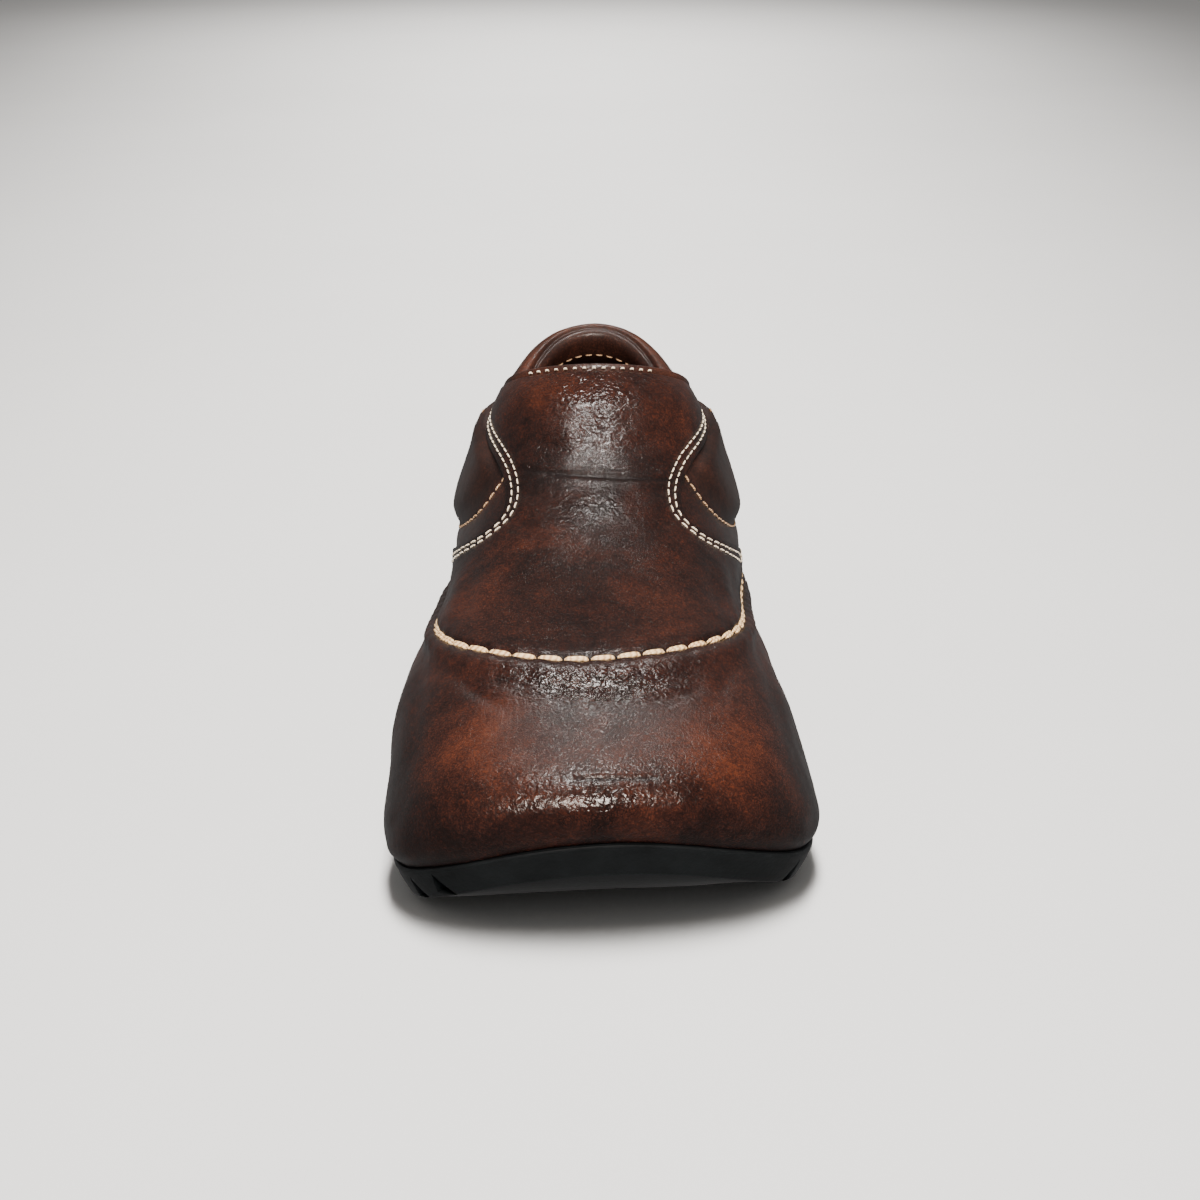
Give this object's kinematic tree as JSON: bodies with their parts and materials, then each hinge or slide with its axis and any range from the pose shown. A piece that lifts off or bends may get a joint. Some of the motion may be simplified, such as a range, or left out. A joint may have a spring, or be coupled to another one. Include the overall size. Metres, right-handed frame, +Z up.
{
  "type": "slip-on leather shoe",
  "caption": "Left slip-on leather shoe with a broad rounded toe piece, a vamp that rises into the tongue, a padded collar and a black rubber sole with a notched edge.",
  "frame": {"origin": "middle of the shoe's box, on the floor plane under the sole", "axes": "+Z up, toe towards -Y and heel towards +Y, medial side towards -X"},
  "size_m": [0.1038, 0.2704, 0.0987],
  "materials": {
    "sole_rubber": "satin black moulded rubber",
    "insole_lining": "dull dark brown lining",
    "brown_leather": "mottled red-brown, waxed and glossy, fine wrinkled grain",
    "collar_leather": "dark brown, soft and smooth over padding"
  },
  "bodies": {
    "root": {"outsole": "sole_rubber", "insole": "insole_lining", "upper": "brown_leather", "toe_piece": "brown_leather", "vamp": "brown_leather", "collar": "collar_leather"}
  },
  "joints": []
}
